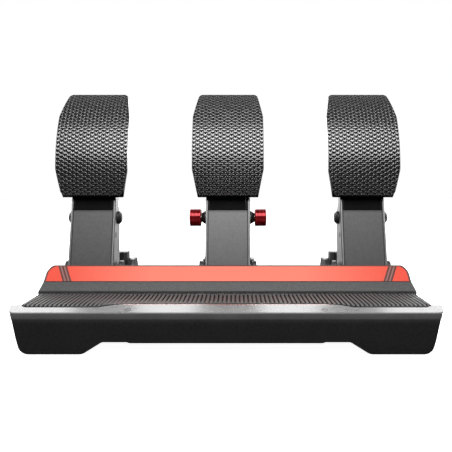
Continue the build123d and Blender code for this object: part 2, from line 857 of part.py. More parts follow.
def pad():
    sector = side_slab(pad_sector(pad_radius - pad_rubber, pad_radius, pad_low_angle, pad_high_angle),
                       -pad_half, pad_half)
    return sector & pad_octagon(0, 0)


def pad_bracket():
    """The curved steel behind the rubber, a little longer at its foot, and the bracket that carries it."""
    plate = side_slab(pad_sector(pad_radius - pad_rubber - pad_steel, pad_radius - pad_rubber,
                                 pad_low_angle - pad_steel_drop, pad_high_angle), -pad_half, pad_half)
    plate &= pad_octagon(pad_steel_inset, pad_steel_drop)
    touch = pad_radius - pad_rubber - pad_steel / 2
    sector = pad_sector(touch - support_reach, touch, support_arc_low, support_arc_high)
    web_v = arm_front_v + seat_gap
    web_face = outline([(web_v, support_low_u), (web_v + support_web, support_low_u),
                        (web_v + support_web, support_web_top_u), (web_v, support_web_top_u)], [0] * 4)
    back_v = arm_front_v + support_depth
    wing_face = outline([(web_v, support_low_u + edge_break), (back_v, support_low_u + edge_break),
                         (back_v, support_top_u), (web_v, support_top_u)], [0, arm_corner, arm_corner, 0])
    spread = outline([(arm_front_v - support_spread, support_low_u), (web_v + support_web / 2, support_low_u),
                      (web_v + support_web / 2, support_top_u),
                      (arm_front_v - support_spread, support_top_u)], [0] * 4)
    reach = arm_slab(spread, support_half - support_sheet, support_half) & side_slab(
        sector, support_half - support_sheet, support_half)
    wing = arm_slab(wing_face, support_half - support_sheet, support_half) + reach
    bracket = plate + arm_slab(web_face, -support_half, support_half)
    for piece in both_sides(wing):
        bracket += piece
    for screw_u in bracket_screw_us:
        for piece in both_sides(arm_screw((screw_v, screw_u), 0)):
            bracket -= piece
    return bracket


def cross_pin(pin_half):
    pin = barrel(-pin_half, pin_half, pin_radius)
    sleeve = barrel(eye_half + sleeve_gap, arm_inner, sleeve_radius) - barrel(0, arm_half, pin_radius)
    return [at_yz(cross_y, cross_z, piece) for piece in [pin] + both_sides(sleeve)]


def cap_nuts():
    start = arm_half
    end = arm_half + cap_length
    nut = turned([(start, 0), (start, cap_radius - edge_break), (start + edge_break, cap_radius),
                  (end - cap_crown, cap_radius), (end, cap_radius - cap_crown), (end, 0)],
                 [0, 0, 0, cap_crown / 2, cap_crown / 2, 0])
    nut -= barrel(start - cut_over, start + cap_bore_depth, pin_radius)
    return both_sides(at_yz(cross_y, cross_z, nut))


def cone_washers():
    start = arm_half
    cone = turned([(start, 0), (start, cap_radius), (start + cone_base, cap_radius),
                   (start + cone_length, cone_tip_radius), (start + cone_length, 0)])
    cone -= barrel(start - cut_over, start + cone_length + cut_over, pin_radius)
    return both_sides(at_yz(cross_y, cross_z, cone))


def knob():
    """The right hand knob: a grooved grip on the end of the cross pin."""
    end = knob_start + knob_length
    points = [(knob_start, 0), (knob_start, knob_radius - knob_edge),
              (knob_start + knob_edge, knob_radius)]
    pitch = (knob_length - knob_edge * 2) / (knob_groove_count + 1)
    wide = pitch * knob_groove_share / 2
    for number in range(knob_groove_count):
        middle = knob_start + knob_edge + (number + 1) * pitch
        points += [(middle - wide, knob_radius), (middle - wide / 2, knob_radius - knob_groove_depth),
                   (middle + wide / 2, knob_radius - knob_groove_depth), (middle + wide, knob_radius)]
    points += [(end - knob_edge, knob_radius), (end, knob_radius - knob_edge), (end, 0)]
    bore = barrel(knob_start - cut_over, knob_start + knob_bore_depth, pin_radius + running_gap)
    return at_yz(cross_y, cross_z, turned(points) - bore)


def rod():
    eye = at_yz(cross_y, cross_z, barrel(-eye_half, eye_half, eye_radius, edge_break))
    tail_end = seat_end + seat_gap + stop_nut_length + rod_tail
    bar = on_rod(barrel(0, rod_neck_end, rod_neck_radius) + barrel(0, tail_end, rod_radius, edge_break))
    solid = eye + bar
    bore = barrel(-eye_half - cut_over, eye_half + cut_over, pin_radius + running_gap)
    solid -= at_yz(cross_y, cross_z, bore)
    nut_start = seat_end + seat_gap
    nut_end = nut_start + stop_nut_length
    nut = barrel(nut_start, nut_end, stop_nut_radius)
    flats = Rot(0, 90, 0) * hexagon(stop_nut_radius, stop_nut_length + cut_over * 2, nut_start - cut_over)
    nut = (nut & flats) - barrel(nut_start - cut_over, nut_end + cut_over, rod_radius + thread_gap)
    return [solid, on_rod(nut)]


def preload_nut():
    nut = barrel(preload_start, preload_end, preload_radius, edge_break)
    nut -= barrel(preload_start - cut_over, preload_end + cut_over, rod_radius + thread_gap)
    for number in range(preload_flute_count):
        turn = 2 * math.pi * number / preload_flute_count
        nut -= Pos(0, preload_radius * math.cos(turn), preload_radius * math.sin(turn)) * barrel(
            preload_start - cut_over, preload_end + cut_over, preload_flute_radius)
    return on_rod(nut)


def coil_point(turn, length, start):
    """A point of the coil's centre line; the turns close up towards both ends."""
    share = turn / coil_turns
    along = length * (share - coil_close_share * math.sin(2 * math.pi * share) / (2 * math.pi))
    angle = 2 * math.pi * turn
    return Vector(start + along, coil_radius * math.cos(angle), coil_radius * math.sin(angle))


def coil_heading(turn, length):
    """The direction of the coil's centre line at a turn."""
    share = turn / coil_turns
    climb = length / coil_turns * (1 - coil_close_share * math.cos(2 * math.pi * share))
    angle = 2 * math.pi * turn
    return Vector(climb, -2 * math.pi * coil_radius * math.sin(angle),
                  2 * math.pi * coil_radius * math.cos(angle)).normalized()


def coil_path(length, start):
    """The centre line as pairs of arcs, one pair for each quarter turn."""
    edges = []
    for quarter in range(coil_turns * 4):
        begin = coil_point(quarter / 4, length, start)
        finish = coil_point((quarter + 1) / 4, length, start)
        leave = coil_heading(quarter / 4, length)
        arrive = coil_heading((quarter + 1) / 4, length)
        chord = finish - begin
        bend = 2 - 2 * leave.dot(arrive)
        lean = 2 * chord.dot(leave + arrive)
        reach = (math.sqrt(lean * lean + 4 * bend * chord.dot(chord)) - lean) / (2 * bend)
        joint = (begin + finish + (leave - arrive) * reach) * 0.5
        across = chord - (leave + arrive) * reach
        edges.append(TangentArc(begin, joint, tangent=leave).edge())
        edges.append(TangentArc(joint, finish, tangent=across).edge())
    return Wire(edges)


def coil_gap(path):
    """The least gap between the coil's turns, measured on points of its centre line."""
    per_turn = 48
    total = coil_turns * per_turn
    points = [path.position_at(number / total) for number in range(total + 1)]
    least = min((points[i] - points[j]).length for i in range(total + 1)
                for j in range(i + per_turn // 2, min(i + per_turn + per_turn // 2, total + 1)))
    return least - wire_radius * 2


def spring():
    start = preload_end + seat_gap + wire_radius
    length = seat_start - seat_gap - wire_radius - start
    path = coil_path(length, start)
    section = Plane(origin=path.position_at(0), z_dir=path.tangent_at(0)) * Circle(wire_radius)
    print("spring: least gap between turns", round(coil_gap(path), 2), "mm")
    return on_rod(sweep(section, path))


def load_cell():
    start = seat_start - load_cell_length
    cell = turned([(start, rod_radius + block_hole_gap), (start, load_cell_radius - load_cell_lip * 2),
                   (start + load_cell_lip, load_cell_radius - load_cell_lip),
                   (start + load_cell_lip, load_cell_radius), (seat_start, load_cell_radius),
                   (seat_start, rod_radius + block_hole_gap)])
    return on_rod(cell)


def elastomers():
    start = preload_end + seat_gap
    end = seat_start - load_cell_length - seat_gap
    pitch = (end - start + elastomer_gap) / elastomer_count
    discs = []
    for number in range(elastomer_count):
        low = start + number * pitch
        high = low + pitch - elastomer_gap
        disc = turned([(low, rod_radius + elastomer_bore_gap), (low, elastomer_radius),
                       (high, elastomer_radius),
                       (high, rod_radius + elastomer_bore_gap)], [0, elastomer_round, elastomer_round, 0])
        discs.append(on_rod(disc))
    return discs


def spring_block():
    face = outline([(-block_half, block_y - block_front), (block_half, block_y - block_front),
                    (block_half, block_y + block_rear), (-block_half, block_y + block_rear)], [0] * 4)
    upright = top_slab(face, block_z - block_below, block_z + block_above)
    upright = chamfer(upright.edges().filter_by(Axis.Z), block_chamfer)
    upright = chamfer(upright.faces().sort_by(Axis.Z)[-1].edges(), edge_break)
    block = upright + on_rod(barrel(seat_start, seat_end, seat_radius, edge_break))
    for side in (-1, 1):
        shoulder = barrel(0, side * (cheek_inner - seat_gap), block_shoulder_radius)
        stub = barrel(0, side * cheek_outer, trunnion_radius)
        block += at_yz(block_y, block_z, shoulder + stub)
    block -= on_rod(barrel(seat_start - pocket_run, seat_start, seat_pocket_radius))
    block -= on_rod(barrel(seat_end, seat_end + pocket_run, nut_pocket_radius))
    return block - on_rod(barrel(seat_start - cut_over, seat_end + cut_over, rod_radius + block_hole_gap))


def pedal_sensor(side):
    """A rounded housing over the trunnion's end, on the cheek away from the middle."""
    points = [(block_y - sensor_half_width, block_z - sensor_below),
              (block_y + sensor_half_width, block_z - sensor_below),
              (block_y + sensor_half_width, block_z + sensor_above),
              (block_y - sensor_half_width, block_z + sensor_above)]
    face = outline(points, [sensor_round] * 4)
    housing = side_slab(face, cheek_outer, cheek_outer + sensor_thickness)
    housing -= at_yz(block_y, block_z, barrel(cheek_outer - cut_over, cheek_outer + sensor_floor,
                                              trunnion_radius + seat_gap))
    housing = fillet(housing.faces().sort_by(Axis.X)[-1].outer_wire().edges(), sensor_floor / 2)
    return housing if side > 0 else mirror(housing, Plane.YZ)


def box_outline(inset):
    left_x = box_x - box_half + inset
    right_x = box_x + box_half - inset
    return outline([(left_x, box_front_y + inset), (right_x, box_front_y + inset),
                    (right_x, box_rear_y - inset), (left_x, box_rear_y - inset)],
                   [box_corner - inset] * 4)


def control_box():
    shell = top_slab(box_outline(0), base_top, base_top + box_height)
    shell -= top_slab(box_outline(box_wall), base_top + box_wall, base_top + box_height + cut_over)
    floor = base_top + socket_rise
    tray = Pos(box_x, box_rear_y, floor - box_wall) * Box((socket_half + box_wall) * 2, socket_depth + box_wall,
                                                         socket_height + box_wall * 2,
                                                         align=(Align.CENTER, Align.MAX, Align.MIN))
    mouth = Pos(box_x, box_rear_y + cut_over, floor) * Box(socket_half * 2, socket_depth + cut_over, socket_height,
                                                          align=(Align.CENTER, Align.MAX, Align.MIN))
    return shell + tray - mouth


def control_box_lid():
    lid = top_slab(box_outline(0), base_top + box_height, base_top + box_height + lid_height)
    return fillet(lid.faces().sort_by(Axis.Z)[-1].outer_wire().edges(), lid_height / 3)


def save(name, pieces):
    """Writes one node; a group of like pieces stays a group of separate solids."""
    if isinstance(pieces, list):
        solids = [solid for piece in pieces for solid in piece.solids()]
    else:
        solids = pieces.solids()
    shape = solids[0] if len(solids) == 1 else Compound(children=solids)
    shape.label = name
    export_step(shape, os.path.join("parts", name + ".step"))


def at_pedal(pieces, pedal_x):
    """A pedal's piece, or list of pieces, moved to its place across the set."""
    if isinstance(pieces, list):
        return [Pos(pedal_x, 0, 0) * piece for piece in pieces]
    return Pos(pedal_x, 0, 0) * pieces


os.makedirs("parts", exist_ok=True)

save("heel_body", heel_body())
save("heel_plate", heel_plate())
save("heel_mat", heel_mat())
save("front_bar", front_bar())
save("red_strip", red_strip())
save("top_screws", top_screws())
save("base_plate", base_plate())
save("base_rails", base_rails())
save("rubber_feet", rubber_feet())
save("bracket_bolts", bracket_bolts())
save("control_box", control_box())
save("control_box_lid", control_box_lid())
save("pedal_sensors", [at_pedal(pedal_sensor(-1), -pedal_spacing),
                       at_pedal(pedal_sensor(1), pedal_spacing)])
save("pivot_axles", [piece for pedal_x in pedal_xs() for piece in at_pedal(pivot_axle(), pedal_x)])

shared = {
    "bracket_base": bracket_base(), "cheeks": cheeks(), "bushes": bushes(), "arm_plates": arm_plates(),
    "arm_front": arm_front(), "pad_bracket": pad_bracket(), "pad": pad(), "arm_screws": arm_screws(),
    "rod": rod(), "preload_nut": preload_nut(), "spring_block": spring_block(),
}
sprung = {"cross_pin": cross_pin(pin_cap_half), "cap_nuts": cap_nuts(), "spring": spring()}
braking = {
    "cross_pin": cross_pin(pin_knob_half), "cone_washers": cone_washers(), "elastomers": elastomers(),
    "load_cell": load_cell(), "knob_right": knob(), "knob_left": mirror(knob(), Plane.YZ),
}
for pedal_name, pedal_x in zip(("clutch", "brake", "throttle"), pedal_xs()):
    own = braking if pedal_name == "brake" else sprung
    for piece_name, pieces in {**shared, **own}.items():
        save(pedal_name + "_" + piece_name, at_pedal(pieces, pedal_x))
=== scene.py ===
"""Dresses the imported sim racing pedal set: treads, springs, discs, ribbed mat, finishes, light and camera."""
import json
import math

import bpy
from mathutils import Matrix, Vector


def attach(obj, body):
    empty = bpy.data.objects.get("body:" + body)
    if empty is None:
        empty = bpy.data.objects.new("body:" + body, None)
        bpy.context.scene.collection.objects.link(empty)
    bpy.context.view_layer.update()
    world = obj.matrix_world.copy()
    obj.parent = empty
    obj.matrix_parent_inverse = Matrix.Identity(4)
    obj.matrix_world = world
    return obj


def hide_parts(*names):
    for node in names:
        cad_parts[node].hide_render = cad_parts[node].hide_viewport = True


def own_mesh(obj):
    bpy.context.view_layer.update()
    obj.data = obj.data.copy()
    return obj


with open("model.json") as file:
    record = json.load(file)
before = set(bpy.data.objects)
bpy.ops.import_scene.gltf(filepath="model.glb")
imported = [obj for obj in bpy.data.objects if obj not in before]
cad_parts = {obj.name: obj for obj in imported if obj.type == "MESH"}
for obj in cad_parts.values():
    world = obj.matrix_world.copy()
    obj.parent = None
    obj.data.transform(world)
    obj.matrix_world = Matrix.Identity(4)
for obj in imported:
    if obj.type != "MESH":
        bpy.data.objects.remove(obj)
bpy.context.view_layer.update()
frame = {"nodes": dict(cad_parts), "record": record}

# Lengths are in millimetres where no comment says metres, and turn into metres when a mesh is made.
# PEDALS holds the middle of each pedal, across.
MM = 0.001
PEDALS = {"clutch": -158.5, "brake": 0.0, "throttle": 158.5}

# Pad: an arc of rubber on a steel plate. Corners and ends are angles of the arc, in degrees; PIT_SLOPE,
# PIT_DARK and PIT_CLEAR are shares of a pit's reach and depth
PAD_CENTRE = (83.0, 180.0)
PAD_RADIUS = 120.0
PAD_RUBBER = 5.0
PAD_LOW = -12.3
PAD_LOW_CORNER = 2.6
PAD_HIGH_CORNER = 35.0
PAD_HIGH = 55.2
PAD_HALVES = (35.7, 41.7, 41.7, 35.2)
PAD_ROUND = 5.5
PAD_LIP = 0.9
PAD_STEP = 0.38
PIT_PITCH = 8.8
PIT_ROW = 2.515
PIT_DEPTH = 0.5
PAD_SKIN = 1.6
PIT_MARGIN = 0.6
PIT_REACH = 0.94
PIT_SLOPE = 0.55
PIT_TIPS = ((2.1, 0.75), (-2.1, 0.75), (0.0, -1.35))
PIT_DARK = 0.3
PIT_CLEAR = 0.05

# Push rod and what it squeezes; distances run along the rod from the cross pin. COIL_CLOSE says how much
# the turns close up at the ends, and COIL_KEEP and DISC_KEEP are the lengths kept at full travel, as shares
ROD_START = (-14.0, 128.3)
ROD_HEADING = (0.7776, -0.6287)
COIL_START = 27.9
COIL_LENGTH = 59.15
COIL_RADIUS = 12.0
COIL_WIRE = 1.6
COIL_TURNS = 7
COIL_CLOSE = 0.5
COIL_STEPS = 32
COIL_SIDES = 12
COIL_NUDGE = 0.01
SOFT_ANCHOR = 26.3
DISC_END = 80.65
DISC_COUNT = 3
DISC_GAP = 0.3
DISC_RADIUS = 12.0
DISC_BORE = 4.8
DISC_ROUND = 2.5
DISC_STEPS = 8
DISC_SIDES = 64

# Ribbed mat: a rib is at least MAT_LEAST long, and its bend lies at least MAT_BEND behind its front.
# RIB_CHAMFER is a share of the ribs' rounding, and RIB_SHADE_TOP of their height
BEVEL_Y = -146.0
BEVEL_SLOPE = 5.1 / 14.0
MAT_MIDDLE = -141.0
MAT_LAP = -150.0
MAT_REAR = -78.5
MAT_MIDDLE_HALF = 97.0
MAT_STEP_HALF = 128.0
MAT_FRONT_HALF = 203.9
MAT_REAR_HALF = 206.5
MAT_CORNER = 6.0
MAT_FLOOR = 43.9
MAT_BASE = 1.5
MAT_LEAST = 2.0
MAT_BEND = 1.0
RIB_HEIGHT = 1.6
RIB_WIDTH = 2.9
RIB_PITCH = 4.445
RIB_COUNT = 92
RIB_ROUND = 0.55
RIB_CHAMFER = 0.3
RIB_SHADE_TOP = 0.4

# Angles above which an edge of a new mesh stays crisp, in degrees
PAD_CRISP = 40.0
SOFT_CRISP = 50.0
MAT_CRISP = 30.0

# Half the width over which a painted line fades
PAINT_BLUR = 0.2

# Front panel of each arm and its plates, by height and by distance from the pedal's middle: where their painted
# shade lies
PANEL_FOOT = 78.0
PANEL_TOP = 138.0
PANEL_LIP_SHADOW = 4.0
PANEL_EDGE_SHADE = 22.6
PLATE_SHADE_EDGE = 23.9

# Red strip, on the bar's sloping face: places up the slope are measured from the bar's foot
SLOPE_RUN = 0.6
SLOPE_RISE = 0.8
SLOPE_START = 9.3
STRIP_LOW = 15.4
STRIP_HIGH = 35.8
STRIP_LOW_HALF = 204.5
STRIP_HIGH_HALF = 202.4
STRIP_CORNER = 10.6
# The strip's painted sheen is full within the first of these distances across and gone beyond the second
STRIP_SHEEN_FULL = 85.0
STRIP_SHEEN_GONE = 190.0
RED_DEEP = (0.76, 0.043, 0.013, 1.0)
RED_SHEEN = (0.90, 0.185, 0.118, 1.0)
RED_CLOUD = (0.95, 0.15, 0.08, 1.0)
RED_GRAIN = (0.95, 0.25, 0.17, 1.0)
RED_SLIVER = (0.27, 0.12, 0.10, 1.0)
RED_LINE = (0.10, 0.022, 0.020, 1.0)
KEYLINE = 1.2
LINE_TOP = 192.6
LINE_LEAN = 8.2
LINE_PITCH = 3.9
LINE_SHARE = 0.51
LINE_SPAN = 2.51

# Grooves of the knobs, across from the middle plane; their rims are shares of the pitch
GROOVE_PITCH = 1.671
GROOVE_START = 33.74
GROOVE_CORE = 0.16
GROOVE_RIM = 0.26
KNOB_DEEP = (0.30, 0.002, 0.006, 1.0)
KNOB_CLEAR = (0.40, 0.004, 0.010, 1.0)
KNOB_GROOVE_SHADE = (0.02, 0.0005, 0.0005, 1.0)

# Other tints
BRONZE_TINT = (0.42, 0.24, 0.09, 1.0)
ELASTOMER_TINT = (0.20, 0.21, 0.22, 1.0)
WHITE = (1.0, 1.0, 1.0, 1.0)

# Painted highlight along the body's shoulder, and painted shade in the fold at the bar's foot
SHOULDER_LOW = 30.0
SHOULDER_HIGH = 40.0
FOLD_SHADE_FULL = 1.8
FOLD_SHADE_GONE = 4.6

# Floor: half its size, and how pale and how bright it is for the camera and for other rays
FLOOR_HALF = 9000.0
FLOOR_PALE = (0.90, 0.93)
FLOOR_DIM = 0.12
FLOOR_GLOW = (0.03, 0.97)

# Soft boxes: direction in degrees, distance, width and height in metres, power in watts
BOX_TARGET = (0.0, -0.05, 0.15)
SOFT_BOXES = {
    "front_box": (0.0, 43.0, 2.5, 1.9, 1.67, 74.0),
    "overhead_box": (0.0, 88.0, 2.2, 2.4, 2.4, 3.0),
    "left_box": (-112.0, 28.0, 2.3, 1.6, 1.5, 34.0),
    "right_box": (112.0, 28.0, 2.3, 1.6, 1.5, 34.0),
    "rear_box": (180.0, 12.0, 2.6, 2.4, 0.7, 22.0),
}

# Surroundings: from dim on the driver's side to bright behind, along the world's Y
SWELL = {"From Min": 0.2, "From Max": 0.9, "To Min": 0.06, "To Max": 1.45}

# Camera: lens and sensor in millimetres, place in metres, tilt below level in degrees
LENS = 50.73
SENSOR = 36.0
SHIFT = -0.023
CAMERA_PLACE = (0.010, -0.777, 0.160)
CAMERA_TILT = 3.145


def metres(points):
    return [tuple(value * MM for value in point) for point in points]


def new_mesh(name, points, faces, sharp=None):
    """A mesh object from points in millimetres; with an angle it is smooth, save at sharper edges."""
    mesh = bpy.data.meshes.new(name)
    mesh.from_pydata(metres(points), [], faces)
    mesh.validate()
    made = bpy.data.objects.new(name, mesh)
    bpy.context.scene.collection.objects.link(made)
    if sharp is not None:
        mesh.shade_smooth()
        mesh.set_sharp_from_angle(angle=math.radians(sharp))
    return made


def bridge(rings, capped=True):
    """Points and faces that join closed rings, each ring as long as the next, numbered in order."""
    faces = []
    count = len(rings[0])
    for level in range(len(rings) - 1):
        for step in range(count):
            ahead = (step + 1) % count
            faces.append((level * count + step, level * count + ahead,
                          (level + 1) * count + ahead, (level + 1) * count + step))
    if capped:
        faces.append(tuple(reversed(range(count))))
        faces.append(tuple(range((len(rings) - 1) * count, len(rings) * count)))
    return [point for ring in rings for point in ring], faces


# Finishes
class Look:
    """A procedural material in the making: short calls that add nodes to its tree."""

    def __init__(self, name):
        self.material = bpy.data.materials.new(name)
        self.material.use_nodes = True
        self.tree = self.material.node_tree
        self.shader = self.tree.nodes["Principled BSDF"]
        self.place = self.add("ShaderNodeTexCoord").outputs["Object"]

    def add(self, kind, links=None, **settings):
        node = self.tree.nodes.new(kind)
        for key, value in settings.items():
            setattr(node, key, value)
        for key, value in (links or {}).items():
            self.put(node.inputs[key], value)
        return node

    def put(self, socket, value):
        if isinstance(value, bpy.types.NodeSocket):
            self.tree.links.new(value, socket)
        else:
            socket.default_value = value

    def stretched(self, stretch):
        return self.add("ShaderNodeMapping", {"Vector": self.place, "Scale": stretch}).outputs["Vector"]

    def noise(self, scale, detail=3.0, stretch=(1.0, 1.0, 1.0), rough=0.55):
        node = self.add("ShaderNodeTexNoise", {"Vector": self.stretched(stretch), "Scale": scale,
                                               "Detail": detail, "Roughness": rough})
        return node.outputs["Fac"]

    def cells(self, scale):
        node = self.add("ShaderNodeTexVoronoi", {"Vector": self.place, "Scale": scale})
        return node.outputs["Distance"]

    def span(self, value, low, high, from_low=0.25, from_high=0.75):
        node = self.add("ShaderNodeMapRange", {"Value": value, "From Min": from_low, "From Max": from_high,
                                               "To Min": low, "To Max": high})
        return node.outputs["Result"]

    def math(self, kind, a, b=0.0):
        return self.add("ShaderNodeMath", {0: a, 1: b}, operation=kind).outputs[0]

    def blend(self, share, a, b, kind="MIX"):
        node = self.add("ShaderNodeMix", data_type="RGBA", blend_type=kind)
        self.put(node.inputs["Factor"], share)
        self.put(node.inputs["A"], a)
        self.put(node.inputs["B"], b)
        return node.outputs["Result"]

    def axes(self):
        return self.add("ShaderNodeSeparateXYZ", {"Vector": self.place}).outputs

    def facing(self, axis):
        """How far the surface faces along an axis of the object, from -1 to 1."""
        normal = self.add("ShaderNodeTexCoord").outputs["Normal"]
        return self.add("ShaderNodeSeparateXYZ", {"Vector": normal}).outputs[axis]

    def line(self, value, place, before=0.0, after=1.0):
        """A step at a place, faded over the blur of a painted line."""
        return self.span(value, before, after, place - PAINT_BLUR, place + PAINT_BLUR)

    def bump(self, height, strength, depth):
        links = {"Height": height, "Strength": strength, "Distance": depth * MM}
        return self.add("ShaderNodeBump", links).outputs["Normal"]

    def finish(self, **sockets):
        names = {"colour": "Base Color", "rough": "Roughness", "metal": "Metallic", "normal": "Normal",
                 "gloss": "Specular IOR Level", "coat": "Coat Weight", "coat_rough": "Coat Roughness",
                 "coat_ior": "Coat IOR"}
        for key, value in sockets.items():
            self.put(self.shader.inputs[names[key]], value)
        return self.material


def grey(level):
    return (level, level, level, 1.0)


def plain(name, colour, spread, patch, grain, rough, metal=0.0, gloss=0.5, strength=0.2, depth=0.1):
    """A finish with broad cloudy variation and fine grain; patch and grain are how fine each of them is."""
    look = Look(name)
    cloud = look.noise(patch, 4.0)
    fine = look.noise(grain, 2.0)
    dark = tuple(value * (1 - spread) for value in colour[:3]) + (1.0,)
    light = tuple(min(1.0, value * (1 + spread)) for value in colour[:3]) + (1.0,)
    base = look.blend(look.span(cloud, 0.0, 1.0), dark, light)
    return look.finish(colour=base, rough=look.span(look.noise(patch * 3, 3.0), rough[0], rough[1]),
                       metal=metal, gloss=gloss, normal=look.bump(fine, strength, depth))


def brushed(name, level, rough, spread, stretch=(1.0, 30.0, 30.0), strength=0.06):
    """Satin metal: fine scratches along the least stretched axis and a cloudy gloss."""
    look = Look(name)
    scratch = look.noise(120.0, 5.0, stretch, 0.7)
    cloud = look.noise(30.0, 3.0)
    light = grey(min(1.0, level * (1 + spread)))
    base = look.blend(look.span(scratch, 0.0, 1.0), grey(level * (1 - spread)), light)
    blur = look.math("ADD", look.span(cloud, rough[0], rough[1]), look.span(scratch, -0.03, 0.03))
    return look.finish(colour=base, rough=blur, metal=1.0, normal=look.bump(scratch, strength, 0.05))


def block_coating():
    """Rough grey coating whose tone is mottled at the size of a grain of sand."""
    look = Look("block_grey")
    level = 0.05
    sand = look.noise(900.0, 3.0, rough=0.65)
    cloud = look.noise(160.0, 3.0)
    tone = look.blend(look.span(sand, 0.0, 1.0, 0.3, 0.7), grey(level * 0.78), grey(level * 1.22))
    tone = look.blend(look.span(cloud, 0.0, 0.35), tone, grey(level * 1.1))
    return look.finish(colour=tone, rough=look.span(sand, 0.37, 0.5), metal=0.3, gloss=0.4,
                       normal=look.bump(sand, 0.25, 0.12))


def from_middle(look, axes):
    """Distance in millimetres across from the middle plane of the nearest pedal."""
    pitch = PEDALS["throttle"]
    share = look.math("FRACT", look.math("ADD", look.math("DIVIDE", axes["X"], pitch * MM), 0.5))
    return look.math("MULTIPLY", look.math("ABSOLUTE", look.math("SUBTRACT", share, 0.5)), pitch)


def arm_panel():
    """Sand blasted grey; painted shade darkens it towards its foot, on the outer pedals, under the pad and
    along both edges.
    """
    look = Look("arm_grey")
    axes = look.axes()
    sand = look.noise(560.0, 4.0, rough=0.7)
    cloud = look.noise(160.0, 3.0)
    # Painted shade: panels of the outer pedals are darker, and every panel darkens towards its foot
    outer = look.math("GREATER_THAN", look.math("ABSOLUTE", axes["X"]), PEDALS["throttle"] * MM / 2)
    climb = look.span(axes["Z"], 0.0, 1.0, PANEL_FOOT * MM, PANEL_TOP * MM)
    level = look.blend(climb, grey(0.084), grey(0.145))
    level = look.blend(look.math("MULTIPLY", outer, 0.5), level, grey(0.02))
    tone = look.blend(look.span(sand, 0.55, 0.0, 0.3, 0.7), level, grey(0.02))
    tone = look.blend(look.span(cloud, 0.0, 0.12), tone, grey(0.15))
    # Painted shadow of the pad along the top of the panel, and painted shade along both edges by the plates
    lip = look.span(axes["Z"], 0.0, 1.0, (PANEL_TOP - PANEL_LIP_SHADOW) * MM, PANEL_TOP * MM)
    edge = look.line(from_middle(look, axes), PANEL_EDGE_SHADE)
    tone = look.blend(look.math("MAXIMUM", look.math("MULTIPLY", lip, 0.8), edge), tone, grey(0.012))
    return look.finish(colour=tone, rough=look.span(sand, 0.37, 0.5), metal=0.35, gloss=0.4,
                       normal=look.bump(sand, 0.25, 0.12))


def arm_plate():
    """Brushed aluminium, with painted shade dulling the cut edges that face the driver and near-black painted
    shade on its inner side.
    """
    look = Look("arm_silver")
    scratch = look.noise(120.0, 5.0, (30.0, 1.0, 1.0), 0.7)
    cloud = look.noise(30.0, 3.0)
    # Painted shade: faces turned away from the sides are dulled
    side = look.math("POWER", look.math("ABSOLUTE", look.facing("X")), 2.0)
    tone = look.blend(look.span(scratch, 0.0, 1.0), grey(0.92), grey(1.0))
    tone = look.blend(1.0, tone, look.blend(side, grey(0.11), grey(0.62)), "MULTIPLY")
    # Painted shade, near black, on the inner side by the front panel
    inner = look.line(from_middle(look, look.axes()), PLATE_SHADE_EDGE, 1.0, 0.0)
    tone = look.blend(inner, tone, grey(0.004))
    blur = look.math("ADD", look.span(cloud, 0.28, 0.38), look.span(scratch, -0.03, 0.03))
    return look.finish(colour=tone, rough=blur, metal=1.0, normal=look.bump(scratch, 0.06, 0.05))


def up_the_slope(look, axes):
    """How far up the bar's sloping face a point lies, in millimetres from the bar's foot."""
    up = look.math("ADD", look.math("MULTIPLY", axes["Y"], SLOPE_RUN / MM),
                   look.math("MULTIPLY", axes["Z"], SLOPE_RISE / MM))
    return look.math("ADD", up, SLOPE_START)


def strip_paint():
    """Satin red enamel, paled in the middle by a painted sheen: a dark keyline by the edge, three slanted lines
    at each end.
    """
    look = Look("strip_red")
    sand = look.noise(1100.0, 2.0)
    cloud = look.noise(70.0, 3.0)
    axes = look.axes()
    out = look.math("MULTIPLY", look.math("ABSOLUTE", axes["X"]), 1 / MM)
    up = up_the_slope(look, axes)
    climb = look.span(up, 0.0, 1.0, STRIP_LOW, STRIP_HIGH)
    side = look.math("SUBTRACT", look.span(climb, STRIP_LOW_HALF, STRIP_HIGH_HALF, 0.0, 1.0), out)
    top = look.math("SUBTRACT", STRIP_HIGH, up)
    into = look.add("ShaderNodeCombineXYZ", {
        "X": look.math("MAXIMUM", look.math("SUBTRACT", STRIP_CORNER, side), 0.0),
        "Y": look.math("MAXIMUM", look.math("SUBTRACT", STRIP_CORNER, top), 0.0)}).outputs[0]
    reach = look.add("ShaderNodeVectorMath", {0: into}, operation="LENGTH").outputs["Value"]
    inside = look.math("SUBTRACT", STRIP_CORNER, reach)
    key = look.line(inside, KEYLINE, 1.0, 0.0)
    lean = look.math("ADD", out, look.math("MULTIPLY", look.math("SUBTRACT", 1.0, climb), LINE_LEAN))
    count = look.math("DIVIDE", look.math("SUBTRACT", LINE_TOP, lean), LINE_PITCH)
    within = look.math("MULTIPLY", look.math("GREATER_THAN", count, 0.0),
                       look.math("LESS_THAN", count, LINE_SPAN))
    phase = look.math("FRACT", count)
    line = look.math("MULTIPLY", within, look.math("LESS_THAN", phase, LINE_SHARE))
    sliver = look.math("MULTIPLY", within, look.math("GREATER_THAN", phase, LINE_SHARE))
    # Painted sheen: the red pales towards the middle of the strip
    red = look.blend(look.span(out, 1.0, 0.0, STRIP_SHEEN_FULL, STRIP_SHEEN_GONE), RED_DEEP, RED_SHEEN)
    red = look.blend(look.span(cloud, 0.0, 0.1), red, RED_CLOUD)
    red = look.blend(look.span(sand, 0.0, 0.1), red, RED_GRAIN)
    red = look.blend(sliver, red, RED_SLIVER)
    red = look.blend(look.math("MAXIMUM", key, line), red, RED_LINE)
    return look.finish(colour=red, rough=look.span(sand, 0.42, 0.52), gloss=0.4,
                       normal=look.bump(sand, 0.12, 0.08))


